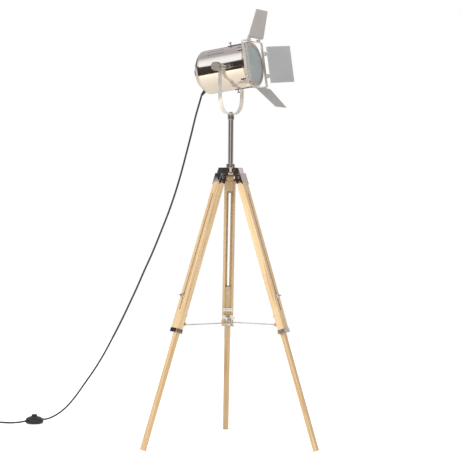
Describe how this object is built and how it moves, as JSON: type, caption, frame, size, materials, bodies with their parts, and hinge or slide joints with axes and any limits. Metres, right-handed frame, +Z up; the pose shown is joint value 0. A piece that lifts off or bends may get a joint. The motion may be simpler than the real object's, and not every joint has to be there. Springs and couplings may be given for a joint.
{
  "type": "lighting/floor_lamp",
  "caption": "Tripod floor lamp: polished spotlight head with barn doors, in a tilting yoke on folding, telescoping wooden legs, with a foot switch on its cord",
  "frame": {"origin": "middle of the footprint, between the leg tips and under the head, on the floor", "axes": "Z is up and the pole runs along it; the rear leg points along +Y; +X is to the right when the rear leg is behind"},
  "size_m": [1.1919, 0.8037, 1.3874],
  "materials": {
    "nickel": "polished nickel plate, mirror bright",
    "steel": "polished plated steel",
    "dark_steel": "dark polished plated steel",
    "bright": "bright zinc plated steel",
    "door": "brushed sheet steel, fine grain",
    "wood": "light honey wood, clear satin lacquer, straight grain along the leg",
    "wood_inner": "light honey wood, satin, a little darker",
    "glass": "frosted pale blue-grey glass",
    "bulb_glass": "pearl white reflector bulb",
    "ceramic": "white glazed ceramic",
    "black": "black satin plastic",
    "cord": "dark grey flexible cord, matte"
  },
  "bodies": {
    "stand": {"hub": "steel", "hub_nut": "steel", "pole": "nickel", "foot_switch": "black", "cord_drop": "cord", "cord_tail": "cord", "cord_coil": "cord", "plug": "black"},
    "leg_left": {"leg_cap_left": "dark_steel", "leg_fixings_left": "bright", "upper_leg_left": "wood", "leg_collar_left": "dark_steel", "leg_strap_left": "bright", "stay_bracket_left": "steel"},
    "lower_left": {"lower_leg_left": "wood_inner", "clamp_bolt_left": "bright"},
    "wing_left": {"leg_wing_nut_left": "steel"},
    "stay_arm_left": {"stay_left": "steel"},
    "leg_right": {"leg_cap_right": "dark_steel", "leg_fixings_right": "bright", "upper_leg_right": "wood", "leg_collar_right": "dark_steel", "leg_strap_right": "bright", "stay_bracket_right": "steel"},
    "lower_right": {"lower_leg_right": "wood_inner", "clamp_bolt_right": "bright"},
    "wing_right": {"leg_wing_nut_right": "steel"},
    "stay_arm_right": {"stay_right": "steel"},
    "leg_rear": {"leg_cap_rear": "dark_steel", "leg_fixings_rear": "bright", "upper_leg_rear": "wood", "leg_collar_rear": "dark_steel", "leg_strap_rear": "bright", "stay_bracket_rear": "steel"},
    "lower_rear": {"lower_leg_rear": "wood_inner", "clamp_bolt_rear": "bright"},
    "wing_rear": {"leg_wing_nut_rear": "steel"},
    "stay_arm_rear": {"stay_rear": "steel"},
    "spreader_bolt": {"stay_bolt": "steel"},
    "spreader_nut": {"stay_wing_nut": "steel"},
    "pan_nut": {"pan_barrel": "steel"},
    "yoke_arm": {"yoke": "nickel"},
    "head": {"head_tube": "nickel", "back_plate": "nickel", "front_ring": "nickel", "glass": "glass", "lamp_holder": "ceramic", "bulb": "bulb_glass", "door_frame": "steel", "door_pins": "bright", "ring_latches": "steel", "cord_gland": "black", "tilt_bolts": "steel"},
    "knob_left": {"tilt_knob_left": "steel"},
    "knob_right": {"tilt_knob_right": "steel"},
    "door_top_leaf": {"door_top": "door"},
    "door_bottom_leaf": {"door_bottom": "door"},
    "door_left_leaf": {"door_left": "door"},
    "door_right_leaf": {"door_right": "door"},
    "foot_button": {"switch_button": "black"}
  },
  "joints": [
    {"name": "leg_left_fold", "type": "hinge", "parent": "stand", "child": "leg_left", "pos_m": [-0.03204, -0.0745, 0.857], "axis": [0.5, -0.866, 0], "range_deg": [0, 14]},
    {"name": "leg_left_extend", "type": "slide", "parent": "leg_left", "child": "lower_left", "axis": [-0.2691, -0.1553, -0.9505], "range_m": [-0.325, 0.036]},
    {"name": "leg_left_wing_nut_turn", "type": "hinge", "parent": "lower_left", "child": "wing_left", "pos_m": [-0.15065, -0.14298, 0.48304], "axis": [-0.8232, -0.4753, 0.3107], "continuous": true},
    {"name": "stay_left_pivot", "type": "hinge", "parent": "leg_left", "child": "stay_arm_left", "pos_m": [-0.14636, -0.1405, 0.392], "axis": [0.5, -0.866, 0], "range_deg": [-14, 0]},
    {"name": "leg_right_fold", "type": "hinge", "parent": "stand", "child": "leg_right", "pos_m": [0.03204, -0.0745, 0.857], "axis": [0.5, 0.866, 0], "range_deg": [0, 14]},
    {"name": "leg_right_extend", "type": "slide", "parent": "leg_right", "child": "lower_right", "axis": [0.2691, -0.1553, -0.9505], "range_m": [-0.325, 0.036]},
    {"name": "leg_right_wing_nut_turn", "type": "hinge", "parent": "lower_right", "child": "wing_right", "pos_m": [0.15065, -0.14298, 0.48304], "axis": [0.8232, -0.4753, 0.3107], "continuous": true},
    {"name": "stay_right_pivot", "type": "hinge", "parent": "leg_right", "child": "stay_arm_right", "pos_m": [0.14636, -0.1405, 0.392], "axis": [0.5, 0.866, 0], "range_deg": [-14, 0]},
    {"name": "leg_rear_fold", "type": "hinge", "parent": "stand", "child": "leg_rear", "pos_m": [0, -0.019, 0.857], "axis": [-1, 0, 0], "range_deg": [0, 14]},
    {"name": "leg_rear_extend", "type": "slide", "parent": "leg_rear", "child": "lower_rear", "axis": [0, 0.3107, -0.9505], "range_m": [-0.325, 0.036]},
    {"name": "leg_rear_wing_nut_turn", "type": "hinge", "parent": "lower_rear", "child": "wing_rear", "pos_m": [0, 0.11796, 0.48304], "axis": [0, 0.9505, 0.3107], "continuous": true},
    {"name": "stay_rear_pivot", "type": "hinge", "parent": "leg_rear", "child": "stay_arm_rear", "pos_m": [0, 0.113, 0.392], "axis": [-1, 0, 0], "range_deg": [-14, 0]},
    {"name": "spreader_slide", "type": "slide", "parent": "stay_arm_rear", "child": "spreader_bolt", "axis": [0, 1, 0], "range_m": [0, 0.11642]},
    {"name": "spreader_nut_turn", "type": "hinge", "parent": "spreader_bolt", "child": "spreader_nut", "pos_m": [0, -0.056, 0.399], "axis": [0, 0, 1], "continuous": true},
    {"name": "pan_barrel_turn", "type": "hinge", "parent": "stand", "child": "pan_nut", "pos_m": [0, -0.056, 1.049], "axis": [0, 0, 1], "continuous": true},
    {"name": "yoke_pan", "type": "hinge", "parent": "stand", "child": "yoke_arm", "pos_m": [0, -0.056, 1.0603], "axis": [0, 0, 1], "range_deg": [-90, 90], "deforming": ["cord_drop"]},
    {"name": "head_tilt", "type": "hinge", "parent": "yoke_arm", "child": "head", "pos_m": [0, -0.056, 1.205], "axis": [-0.454, -0.891, 0], "range_deg": [-30, 40], "deforming": ["cord_drop"]},
    {"name": "tilt_knob_left_turn", "type": "hinge", "parent": "head", "child": "knob_left", "pos_m": [0.04767, 0.03756, 1.205], "axis": [0.454, 0.891, 0], "continuous": true},
    {"name": "tilt_knob_right_turn", "type": "hinge", "parent": "head", "child": "knob_right", "pos_m": [-0.04767, -0.14956, 1.205], "axis": [0.454, 0.891, 0], "continuous": true},
    {"name": "door_top_swing", "type": "hinge", "parent": "head", "child": "door_top_leaf", "pos_m": [0.06965, -0.09149, 1.29423], "axis": [-0.454, -0.891, 0], "range_deg": [-60, 37]},
    {"name": "door_bottom_swing", "type": "hinge", "parent": "head", "child": "door_bottom_leaf", "pos_m": [0.08985, -0.10178, 1.14252], "axis": [0.454, 0.891, 0], "range_deg": [-44, 36]},
    {"name": "door_left_swing", "type": "hinge", "parent": "head", "child": "door_left_leaf", "pos_m": [0.11457, -0.0283, 1.21838], "axis": [-0.1317, 0.0671, 0.989], "range_deg": [-51, 46]},
    {"name": "door_right_swing", "type": "hinge", "parent": "head", "child": "door_right_leaf", "pos_m": [0.04493, -0.16498, 1.21838], "axis": [0.1317, -0.0671, -0.989], "range_deg": [-57, 40]},
    {"name": "switch_press", "type": "slide", "parent": "stand", "child": "foot_button", "axis": [0, 0, 1], "range_m": [-0.003, 0], "stiffness_N_per_m": 600, "springref_m": 0.0005}
  ],
  "couplings": [
    {"joint": "leg_right_fold", "follows": "leg_left_fold", "ratio": 1},
    {"joint": "leg_rear_fold", "follows": "leg_left_fold", "ratio": 1},
    {"joint": "stay_left_pivot", "follows": "leg_left_fold", "ratio": -1},
    {"joint": "stay_right_pivot", "follows": "leg_left_fold", "ratio": -1},
    {"joint": "stay_rear_pivot", "follows": "leg_left_fold", "ratio": -1},
    {"joint": "spreader_slide", "follows": "leg_left_fold", "m_per_rad": 0.47643}
  ]
}
